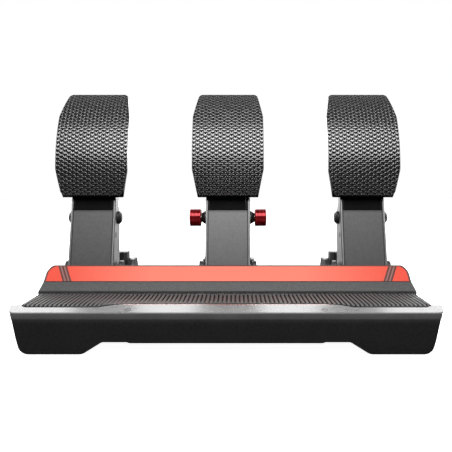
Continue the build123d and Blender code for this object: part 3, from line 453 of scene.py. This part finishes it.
def tread_rubber():
    """Black rubber: a net with a smooth skin over matt pits darkened with painted shade, told apart by depth
    below the face.
    """
    look = Look("pad_rubber")
    fine = look.noise(2600.0, 2.0)
    cloud = look.noise(60.0, 4.0)
    axes = look.axes()
    flat = look.add("ShaderNodeCombineXYZ", {"Y": axes["Y"], "Z": axes["Z"]}).outputs[0]
    middle = tuple([0.0] + [value * MM for value in PAD_CENTRE])
    reach = look.add("ShaderNodeVectorMath", {0: flat, 1: middle}, operation="DISTANCE").outputs["Value"]
    deep = look.span(reach, 1.0, 0.0, (PAD_RADIUS - PIT_DEPTH * PIT_DARK) * MM,
                     (PAD_RADIUS - PIT_DEPTH * PIT_CLEAR) * MM)
    face = look.span(reach, 0.0, 1.0, (PAD_RADIUS - PAD_SKIN) * MM, (PAD_RADIUS - PAD_SKIN / 2) * MM)
    deep = look.math("MULTIPLY", deep, face)
    tone = look.blend(look.span(cloud, 0.0, 1.0), grey(0.007), grey(0.011))
    tone = look.blend(look.span(fine, 0.0, 0.4), tone, grey(0.018))
    # Painted shade: the pits are near black
    tone = look.blend(deep, tone, grey(0.0015))
    skin = look.math("SUBTRACT", 1.0, deep)
    return look.finish(colour=tone, rough=look.span(cloud, 0.4, 0.5), gloss=0.18, coat=skin, coat_rough=0.17,
                       coat_ior=2.2, normal=look.bump(fine, 0.05, 0.03))


def mat_finish():
    """Ribbed rubber: paler crests over grooves darkened with painted shade, also where it lies down over the
    bevel.
    """
    look = Look("mat_rubber")
    axes = look.axes()
    over = look.math("MAXIMUM", look.math("SUBTRACT", BEVEL_Y * MM, axes["Y"]), 0.0)
    level = look.math("ADD", axes["Z"], look.math("MULTIPLY", over, BEVEL_SLOPE))
    low = (MAT_FLOOR + MAT_BASE) * MM
    # Painted shade: near black grooves up to a share of the ribs' height, paler crests above
    crest = look.span(level, 0.0, 1.0, low + RIB_HEIGHT * RIB_SHADE_TOP * MM, low + RIB_HEIGHT * MM)
    sand = look.noise(1800.0, 3.0)
    top = look.blend(look.span(sand, 0.0, 1.0), grey(0.075), grey(0.125))
    tone = look.blend(crest, grey(0.006), top)
    return look.finish(colour=tone, rough=look.span(sand, 0.42, 0.6), gloss=0.4,
                       normal=look.bump(sand, 0.3, 0.12))


def web_coating():
    """Black powder coat of the pads' carriers, matt, with a painted shadow of the pad where it faces the
    driver.
    """
    look = Look("web_black")
    cloud = look.noise(50.0, 4.0)
    fine = look.noise(1500.0, 2.0)
    # Painted shadow of the pad: faces towards the driver are near black
    front = look.span(look.facing("Y"), 1.0, 0.0, -0.4, -0.1)
    tone = look.blend(look.span(cloud, 0.0, 1.0), grey(0.024), grey(0.036))
    tone = look.blend(front, tone, grey(0.003))
    return look.finish(colour=tone, rough=look.span(cloud, 0.48, 0.6), gloss=0.04,
                       normal=look.bump(fine, 0.2, 0.1))


def red_grip():
    """Deep red anodising with a turned gleam, and near-black painted shade in the grooves round the knobs."""
    look = Look("red_anodised")
    cloud = look.noise(150.0, 4.0)
    turned = look.noise(500.0, 3.0, (12.0, 1.0, 1.0))
    out = look.math("MULTIPLY", look.math("ABSOLUTE", look.axes()["X"]), 1 / MM)
    phase = look.math("FRACT", look.math("DIVIDE", look.math("SUBTRACT", out, GROOVE_START), GROOVE_PITCH))
    away = look.math("ABSOLUTE", look.math("SUBTRACT", phase, 0.5))
    # Painted shade in the grooves round the knob
    groove = look.span(away, 1.0, 0.0, GROOVE_CORE, GROOVE_RIM)
    tone = look.blend(look.span(cloud, 0.0, 1.0), KNOB_DEEP, KNOB_CLEAR)
    tone = look.blend(look.math("MULTIPLY", groove, 0.85), tone, KNOB_GROOVE_SHADE)
    return look.finish(colour=tone, rough=look.span(turned, 0.14, 0.22), metal=0.45, gloss=0.5,
                       normal=look.bump(turned, 0.06, 0.04))


def bar_coating():
    """Dark grey powder coat, with painted shade in the fold at the bar's foot."""
    look = Look("bar_paint")
    sand = look.noise(520.0, 4.0, rough=0.7)
    cloud = look.noise(160.0, 3.0)
    tone = look.blend(look.span(sand, 0.0, 1.0, 0.3, 0.7), grey(0.038), grey(0.096))
    tone = look.blend(look.span(cloud, 0.0, 0.35), tone, grey(0.08))
    # Painted shade in the fold at the bar's foot
    fold = look.span(up_the_slope(look, look.axes()), 0.85, 0.0, FOLD_SHADE_FULL, FOLD_SHADE_GONE)
    tone = look.blend(fold, tone, grey(0.008))
    return look.finish(colour=tone, rough=look.span(sand, 0.40, 0.52), metal=0.3, gloss=0.35,
                       normal=look.bump(sand, 0.25, 0.12))


def body_moulding():
    """Black grained moulding, with a painted highlight along its shoulder under the plate."""
    look = Look("moulded_black")
    cloud = look.noise(40.0, 4.0)
    grain = look.noise(1700.0, 2.0)
    coarse = look.noise(420.0, 3.0, rough=0.7)
    base = look.blend(look.span(cloud, 0.0, 1.0), grey(0.006), grey(0.009))
    base = look.blend(look.span(coarse, 0.0, 0.5, 0.4, 0.7), base, grey(0.02))
    fleck = look.span(look.cells(1360.0), 0.012, 0.0, 0.1, 0.45)
    base = look.blend(fleck, base, grey(0.0085), "ADD")
    # Painted highlight along the shoulder, patchy with the cloud
    shoulder_highlight = look.span(look.axes()["Z"], 0.0, 1.0, SHOULDER_LOW * MM, SHOULDER_HIGH * MM)
    shoulder_highlight = look.math("MULTIPLY", shoulder_highlight, look.span(cloud, 0.75, 1.0))
    base = look.blend(look.math("POWER", shoulder_highlight, 1.6), base, grey(0.055))
    return look.finish(colour=base, rough=look.span(look.noise(120.0, 3.0), 0.5, 0.62), gloss=0.2,
                       normal=look.bump(grain, 0.35, 0.15))


# One finish for each slot of the record, and two more that some nodes get by the ending of their name
FINISHES = {
    "moulded_black": body_moulding,
    "satin_aluminium": lambda: brushed("satin_aluminium", 0.88, (0.27, 0.30), spread=0.02, strength=0.006),
    "mat_rubber": mat_finish,
    "bar_paint": bar_coating,
    "strip_red": strip_paint,
    "steel_black": lambda: plain("steel_black", grey(0.02), spread=0.25, patch=50.0, grain=1500.0,
                                 rough=(0.38, 0.5), gloss=0.4, strength=0.25, depth=0.12),
    "arm_silver": arm_plate,
    "arm_grey": arm_panel,
    "pad_rubber": tread_rubber,
    "screw_black": lambda: plain("screw_black", grey(0.02), spread=0.3, patch=200.0, grain=2500.0,
                                 rough=(0.3, 0.42), metal=0.6),
    "screw_steel": lambda: brushed("screw_steel", 0.62, (0.25, 0.38), spread=0.12, stretch=(8.0, 8.0, 1.0)),
    "bronze": lambda: plain("bronze", BRONZE_TINT, spread=0.18, patch=120.0, grain=2000.0,
                            rough=(0.3, 0.45), metal=1.0),
    "steel_bright": lambda: brushed("steel_bright", 0.66, (0.16, 0.26), spread=0.08,
                                    stretch=(1.0, 25.0, 25.0)),
    "nut_black": lambda: plain("nut_black", grey(0.012), spread=0.3, patch=150.0, grain=2200.0,
                               rough=(0.35, 0.5), gloss=0.35),
    "red_anodised": red_grip,
    "spring_steel": lambda: plain("spring_steel", grey(0.06), spread=0.3, patch=130.0, grain=1800.0,
                                  rough=(0.28, 0.42), metal=0.7),
    "elastomer": lambda: plain("elastomer", ELASTOMER_TINT, spread=0.12, patch=90.0, grain=1500.0,
                               rough=(0.42, 0.58), gloss=0.4),
    "load_steel": lambda: brushed("load_steel", 0.55, (0.28, 0.4), spread=0.1, stretch=(1.0, 12.0, 12.0)),
    "box_plastic": lambda: plain("box_plastic", grey(0.016), spread=0.2, patch=50.0, grain=1300.0,
                                 rough=(0.48, 0.6), gloss=0.3, strength=0.35, depth=0.15),
    "foot_rubber": lambda: plain("foot_rubber", grey(0.022), spread=0.25, patch=70.0, grain=1200.0,
                                 rough=(0.6, 0.75), gloss=0.3, strength=0.4, depth=0.2),
    "web_black": web_coating,
    "block_grey": block_coating,
}
SPECIAL_ENDINGS = {"_spring_block": "block_grey", "_pad_bracket": "web_black"}
finishes = {slot: make() for slot, make in FINISHES.items()}


def coat(piece, slot):
    """Gives a new piece the finish of a slot of the record."""
    piece.data.materials.clear()
    piece.data.materials.append(finishes[slot])
    return piece


slot_of = {entry["node"]: entry["material_slot"] for entry in frame["record"]["subparts"]}
for node, carried in frame["nodes"].items():
    chosen = slot_of[node]
    for ending, special in SPECIAL_ENDINGS.items():
        if node.endswith(ending):
            chosen = special
    for place in carried.material_slots:
        place.material = finishes[chosen]


# Pedal pads
def height(angle):
    """How far up the pad's octagon an angle of its arc lies, seen square on to its middle."""
    return math.sin(math.radians(angle - (PAD_LOW + PAD_HIGH) / 2))


def pad_half(angle):
    """Half the pad's width at an angle of its arc, its outer corners rounded."""
    angles = (PAD_LOW, PAD_LOW_CORNER, PAD_HIGH_CORNER, PAD_HIGH)
    half = PAD_HALVES[0]
    for number in range(len(angles) - 1):
        if angles[number] <= angle:
            share = min(1.0, (height(angle) - height(angles[number]))
                        / (height(angles[number + 1]) - height(angles[number])))
            half = PAD_HALVES[number] + (PAD_HALVES[number + 1] - PAD_HALVES[number]) * share
    end = min(angle - PAD_LOW, PAD_HIGH - angle)
    short = PAD_ROUND - math.radians(max(end, 0.0)) * PAD_RADIUS
    if short > 0:
        half -= PAD_ROUND - math.sqrt(max(0.0, PAD_ROUND ** 2 - short ** 2))
    return half


def lobe(x, y, tip_x, tip_y, width):
    """How deep a point lies in a lobe that runs from the pit's middle to a tip: 1 on its line, 0 outside."""
    length = tip_x * tip_x + tip_y * tip_y
    share = min(1.0, max(0.0, (x * tip_x + y * tip_y) / length))
    away = math.hypot(x - tip_x * share, y - tip_y * share)
    return min(1.0, max(0.0, (width - away) / (width * PIT_SLOPE)))


def pit(x, y):
    """Depth share of the tread at a point: rows of three-lobed pits, each row half a pitch along."""
    row = math.floor(y / PIT_ROW + 0.5)
    deepest = 0.0
    for near in (row - 1, row, row + 1):
        shift = PIT_PITCH / 2 if near % 2 else 0.0
        column = math.floor((x - shift) / PIT_PITCH + 0.5)
        dx = x - shift - column * PIT_PITCH
        dy = y - near * PIT_ROW
        for tip_x, tip_y in PIT_TIPS:
            deepest = max(deepest, lobe(dx, dy, tip_x, tip_y, PIT_REACH))
    return deepest * deepest * (3 - 2 * deepest)


def on_arc(x, angle, radius):
    turn = math.radians(angle)
    return (x, PAD_CENTRE[0] - radius * math.cos(turn), PAD_CENTRE[1] + radius * math.sin(turn))


def tread(name, x_middle):
    """The pad's rubber: a pitted face with a rounded edge, its walls and its back."""
    run = math.radians(PAD_HIGH - PAD_LOW) * PAD_RADIUS
    rows = int(run / PAD_STEP)
    columns = int(PAD_HALVES[1] * 2 / PAD_STEP)
    points = []
    faces = []

    # Pitted face, row by row from its low end
    for row in range(rows + 1):
        angle = PAD_LOW + (PAD_HIGH - PAD_LOW) * row / rows
        half = pad_half(angle)
        along = run * row / rows
        for column in range(columns + 1):
            x = half * (column * 2 / columns - 1)
            edge = min(half - abs(x), along, run - along)
            inner = min(1.0, max(0.0, (edge - PIT_MARGIN) / PIT_MARGIN))
            drop = PIT_DEPTH * pit(x, along) * inner
            if edge < PAD_LIP:
                drop += PAD_LIP - math.sqrt(max(0.0, PAD_LIP ** 2 - (PAD_LIP - edge) ** 2))
            points.append(on_arc(x_middle + x, angle, PAD_RADIUS - drop))
    wide = columns + 1
    for row in range(rows):
        for column in range(columns):
            corner = row * wide + column
            faces.append((corner, corner + 1, corner + wide + 1, corner + wide))

    # Walls, from the face's rim to the same rim at the back
    rim = list(range(columns + 1))
    rim += [row * wide + columns for row in range(1, rows + 1)]
    rim += [rows * wide + column for column in range(columns - 1, -1, -1)]
    rim += [row * wide for row in range(rows - 1, 0, -1)]
    start = len(points)
    for index in rim:
        row, column = divmod(index, wide)
        angle = PAD_LOW + (PAD_HIGH - PAD_LOW) * row / rows
        x = pad_half(angle) * (column * 2 / columns - 1)
        points.append(on_arc(x_middle + x, angle, PAD_RADIUS - PAD_RUBBER))
    for step in range(len(rim)):
        ahead = (step + 1) % len(rim)
        faces.append((rim[ahead], rim[step], start + step, start + ahead))

    # Back: one face along its low end, a strip for each row, one face along its high end
    last = len(rim) - 1
    side = columns + rows
    faces.append(tuple(reversed([start + last] + [start + step for step in range(columns + 2)])))
    for row in range(1, rows - 1):
        left = start + last + 1 - row
        right = start + columns + row
        faces.append((left, left - 1, right + 1, right))
    top = [start + step for step in range(side - 1, side + columns + 2)]
    faces.append(tuple(reversed(top)))
    return new_mesh(name, points, faces, PAD_CRISP)


for pedal, x_middle in PEDALS.items():
    pad = coat(tread(f"{pedal}_tread", x_middle), "pad_rubber")
    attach(pad, f"{pedal}_arm")
    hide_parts(f"{pedal}_pad")


# Springs and discs on the push rods
def rod_point(x_middle, along, across, up):
    """A point beside the push rod: along it, sideways, and square to both."""
    heading_y, heading_z = ROD_HEADING
    return (x_middle + across, ROD_START[0] + along * heading_y - up * heading_z,
            ROD_START[1] + along * heading_z + up * heading_y)


def coil_spot(turn):
    share = turn / COIL_TURNS
    along = COIL_LENGTH * (share - COIL_CLOSE * math.sin(math.tau * share) / math.tau)
    return Vector((COIL_START + along, COIL_RADIUS * math.cos(math.tau * turn),
                   COIL_RADIUS * math.sin(math.tau * turn)))


def coil(name, x_middle):
    """A compression spring whose turns close up at both ends."""
    rings = []
    total = COIL_TURNS * COIL_STEPS
    for step in range(total + 1):
        turn = step / COIL_STEPS
        spot = coil_spot(turn)
        heading = (coil_spot(turn + COIL_NUDGE) - coil_spot(turn - COIL_NUDGE)).normalized()
        outward = Vector((0.0, math.cos(math.tau * turn), math.sin(math.tau * turn)))
        side = heading.cross(outward).normalized()
        outward = side.cross(heading)
        ring = []
        for number in range(COIL_SIDES):
            angle = math.tau * number / COIL_SIDES
            reach = spot + (outward * math.cos(angle) + side * math.sin(angle)) * COIL_WIRE
            ring.append(rod_point(x_middle, reach.x, reach.y, reach.z))
        rings.append(ring)
    points, faces = bridge(rings)
    return new_mesh(name, points, faces, SOFT_CRISP)


def disc_profile(low, high):
    """Outline of one soft disc as distances along and away from the rod, with rounded rims."""
    rim = []
    for number in range(DISC_STEPS + 1):
        angle = math.pi / 2 * number / DISC_STEPS
        rim.append((DISC_ROUND * (1 - math.cos(angle)),
                    DISC_RADIUS - DISC_ROUND + DISC_ROUND * math.sin(angle)))
    profile = [(low, DISC_BORE)]
    profile += [(low + inset, radius) for inset, radius in rim]
    profile += [(high - inset, radius) for inset, radius in reversed(rim)]
    profile.append((high, DISC_BORE))
    return profile


def disc(name, x_middle, low, high):
    """One soft disc round the push rod, from low to high along it."""
    turns = [math.tau * step / DISC_SIDES for step in range(DISC_SIDES)]
    rings = []
    for along, radius in disc_profile(low, high) + [(low, DISC_BORE)]:
        rings.append([rod_point(x_middle, along, radius * math.cos(turn), radius * math.sin(turn))
                      for turn in turns])
    points, faces = bridge(rings, capped=False)
    return new_mesh(name, points, faces, SOFT_CRISP)


for pedal, x_middle in PEDALS.items():
    if pedal == "brake":
        pitch = (DISC_END - SOFT_ANCHOR + DISC_GAP) / DISC_COUNT
        for number in range(DISC_COUNT):
            low = SOFT_ANCHOR + number * pitch
            soft = disc(f"brake_disc_{number + 1}", x_middle, low, low + pitch - DISC_GAP)
            coat(soft, "elastomer")
            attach(soft, "brake_rod")
            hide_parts("brake_elastomers")
            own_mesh(soft)
    else:
        soft = coat(coil(f"{pedal}_coil", x_middle), "spring_steel")
        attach(soft, f"{pedal}_rod")
        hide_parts(f"{pedal}_spring")
        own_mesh(soft)


# Ribbed mat
def mat_front(x):
    """Where the mat starts at a place across: stepped forward at both sides, its corners rounded."""
    away = abs(x)
    share = min(1.0, max(0.0, (away - MAT_MIDDLE_HALF) / (MAT_STEP_HALF - MAT_MIDDLE_HALF)))
    y = MAT_MIDDLE + (MAT_LAP - MAT_MIDDLE) * share
    if away > MAT_FRONT_HALF:
        widening = (away - MAT_FRONT_HALF) / (MAT_REAR_HALF - MAT_FRONT_HALF)
        return y + MAT_CORNER + (MAT_REAR - y - MAT_CORNER) * widening
    over = max(0.0, away - MAT_FRONT_HALF + MAT_CORNER)
    return y + MAT_CORNER - math.sqrt(MAT_CORNER ** 2 - over ** 2)


def ribbed_mat(name):
    """One sheet of the mat: its ribs' rounded profile run from front to rear, bent down over the bevel."""
    groove = MAT_FLOOR + MAT_BASE
    crest = groove + RIB_HEIGHT
    profile = [(-MAT_REAR_HALF, groove)]
    for number in range(RIB_COUNT):
        middle = (number - (RIB_COUNT - 1) / 2) * RIB_PITCH
        for side in (-1, 1):
            edge = middle + side * RIB_WIDTH / 2
            rising = [(edge, groove), (edge, crest - RIB_ROUND),
                      (edge - side * RIB_ROUND * RIB_CHAMFER, crest - RIB_ROUND * RIB_CHAMFER),
                      (edge - side * RIB_ROUND, crest)]
            profile += rising if side < 0 else list(reversed(rising))
    profile.append((MAT_REAR_HALF, groove))
    profile += [(MAT_REAR_HALF, MAT_FLOOR), (-MAT_REAR_HALF, MAT_FLOOR)]
    rows = [[], [], []]
    for x, z in profile:
        front = min(mat_front(x), MAT_REAR - MAT_LEAST)
        drop = max(0.0, BEVEL_Y - front) * BEVEL_SLOPE
        rows[0].append((x, front, z - drop))
        rows[1].append((x, max(BEVEL_Y, front + MAT_BEND), z))
        rows[2].append((x, MAT_REAR, z))
    points, faces = bridge(rows)
    return new_mesh(name, points, faces, MAT_CRISP)


mat = coat(ribbed_mat("ribbed_mat"), "mat_rubber")
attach(mat, "root")
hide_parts("heel_mat")


# Floor, light and camera
def floor_plane():
    """A plain floor: pale and bright for the camera, dimmer for what it throws on the object."""
    half = FLOOR_HALF
    corners = [(-half, -half, 0.0), (half, -half, 0.0), (half, half, 0.0), (-half, half, 0.0)]
    made = new_mesh("floor", corners, [(0, 1, 2, 3)])
    look = Look("floor_white")
    cloud = look.noise(0.8, 2.0)
    look.shader.inputs["Emission Color"].default_value = WHITE
    seen = look.add("ShaderNodeLightPath").outputs["Is Camera Ray"]
    pale = look.blend(look.span(cloud, 0.0, 1.0), grey(FLOOR_PALE[0]), grey(FLOOR_PALE[1]))
    look.finish(colour=look.blend(seen, grey(FLOOR_DIM), pale), rough=0.9, gloss=0.1)
    glow = look.span(seen, FLOOR_GLOW[0], FLOOR_GLOW[1], 0.0, 1.0)
    look.put(look.shader.inputs["Emission Strength"], glow)
    made.data.materials.append(look.material)


def studio_world():
    """Surroundings that are white where the camera sees them and light the object more from behind."""
    world = bpy.data.worlds.new("studio")
    bpy.context.scene.world = world
    world.use_nodes = True
    tree = world.node_tree
    nodes, links = tree.nodes, tree.links
    nodes.clear()
    where = nodes.new("ShaderNodeTexCoord")
    split = nodes.new("ShaderNodeSeparateXYZ")
    links.new(where.outputs["Generated"], split.inputs[0])
    swell = nodes.new("ShaderNodeMapRange")
    swell.interpolation_type = "SMOOTHSTEP"
    for key, value in SWELL.items():
        swell.inputs[key].default_value = value
    links.new(split.outputs["Y"], swell.inputs["Value"])
    lit = nodes.new("ShaderNodeBackground")
    links.new(swell.outputs["Result"], lit.inputs["Strength"])
    seen = nodes.new("ShaderNodeBackground")
    seen.inputs["Strength"].default_value = 1.0
    path = nodes.new("ShaderNodeLightPath")
    choice = nodes.new("ShaderNodeMixShader")
    out = nodes.new("ShaderNodeOutputWorld")
    for background in (lit, seen):
        background.inputs["Color"].default_value = WHITE
    links.new(path.outputs["Is Camera Ray"], choice.inputs[0])
    links.new(lit.outputs[0], choice.inputs[1])
    links.new(seen.outputs[0], choice.inputs[2])
    links.new(choice.outputs[0], out.inputs["Surface"])


def soft_box(name, azimuth, elevation, distance, wide, tall, power):
    """An area light that faces the pedals from a direction; azimuth 0 is the driver's side."""
    light = bpy.data.lights.new(name, "AREA")
    light.shape = "RECTANGLE"
    light.size = wide
    light.size_y = tall
    light.energy = power
    made = bpy.data.objects.new(name, light)
    bpy.context.scene.collection.objects.link(made)
    a, e = math.radians(azimuth), math.radians(elevation)
    target = Vector(BOX_TARGET)
    back = Vector((math.sin(a) * math.cos(e), -math.cos(a) * math.cos(e), math.sin(e)))
    made.location = target + back * distance
    made.rotation_mode = "QUATERNION"
    made.rotation_quaternion = (-back).to_track_quat("-Z", "Y")
    made.visible_camera = False


floor_plane()
studio_world()
for box_name, settings in SOFT_BOXES.items():
    soft_box(box_name, *settings)

camera = bpy.data.objects.new("camera", bpy.data.cameras.new("camera"))
camera.data.lens = LENS
camera.data.sensor_width = SENSOR
camera.data.shift_x = SHIFT
camera.location = CAMERA_PLACE
camera.rotation_euler = (math.radians(90 - CAMERA_TILT), 0.0, 0.0)
bpy.context.scene.collection.objects.link(camera)
bpy.context.scene.camera = camera
bpy.context.scene.view_settings.view_transform = "Standard"
